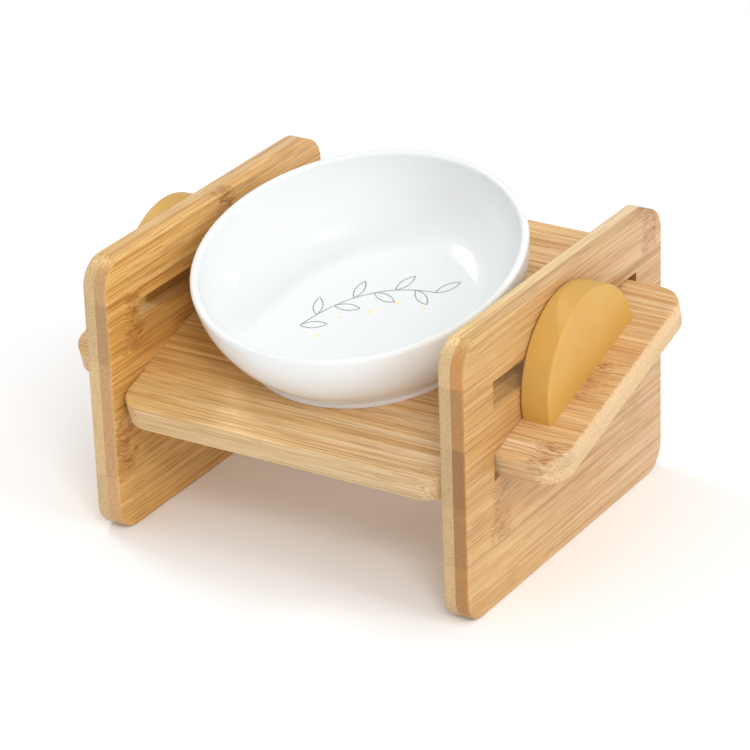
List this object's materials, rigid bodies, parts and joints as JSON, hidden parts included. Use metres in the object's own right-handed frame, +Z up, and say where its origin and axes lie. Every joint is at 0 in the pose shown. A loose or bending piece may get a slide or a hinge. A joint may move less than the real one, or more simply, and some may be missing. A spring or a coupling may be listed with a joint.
{
  "type": "pet bowl stand",
  "caption": "Free-standing bamboo pet bowl stand: slotted side panels hold a sloping shelf, locked by half-disc keys on its ears, and a shallow glazed bowl stands on it.",
  "frame": {"origin": "on the floor at the centre of the footprint, midway between the side panels and between their front and back ends", "axes": "+X from the left panel to the right one, seen from the shelf's low front edge, +Y from front to back, +Z up"},
  "size_m": [0.244, 0.17, 0.1423],
  "materials": {
    "bamboo_panel": "satin clear-coated side-pressed bamboo",
    "bamboo_shelf": "satin clear-coated side-pressed bamboo",
    "yellow_key": "matte moulded, warm yellow",
    "white_glaze": "glossy white glaze",
    "soft_ring": "matte pale grey"
  },
  "bodies": {
    "stand": {"left_panel_outer_ply": "bamboo_panel", "left_panel_inner_ply": "bamboo_panel", "right_panel_inner_ply": "bamboo_panel", "right_panel_outer_ply": "bamboo_panel", "shelf_upper_ply": "bamboo_shelf", "shelf_lower_ply": "bamboo_shelf"},
    "left_key": {"left_lock_key": "yellow_key"},
    "right_key": {"right_lock_key": "yellow_key"},
    "bowl": {"bowl": "white_glaze", "bowl_grip_ring": "soft_ring"}
  },
  "joints": [
    {"name": "bowl_lift", "type": "slide", "parent": "stand", "child": "bowl", "axis": [0, -0.2714, 0.9625], "range_m": [0, 0.1]},
    {"name": "left_key_lift", "type": "slide", "parent": "stand", "child": "left_key", "axis": [0, -0.2714, 0.9625], "range_m": [0, 0.03]},
    {"name": "right_key_lift", "type": "slide", "parent": "stand", "child": "right_key", "axis": [0, -0.2714, 0.9625], "range_m": [0, 0.03]}
  ]
}
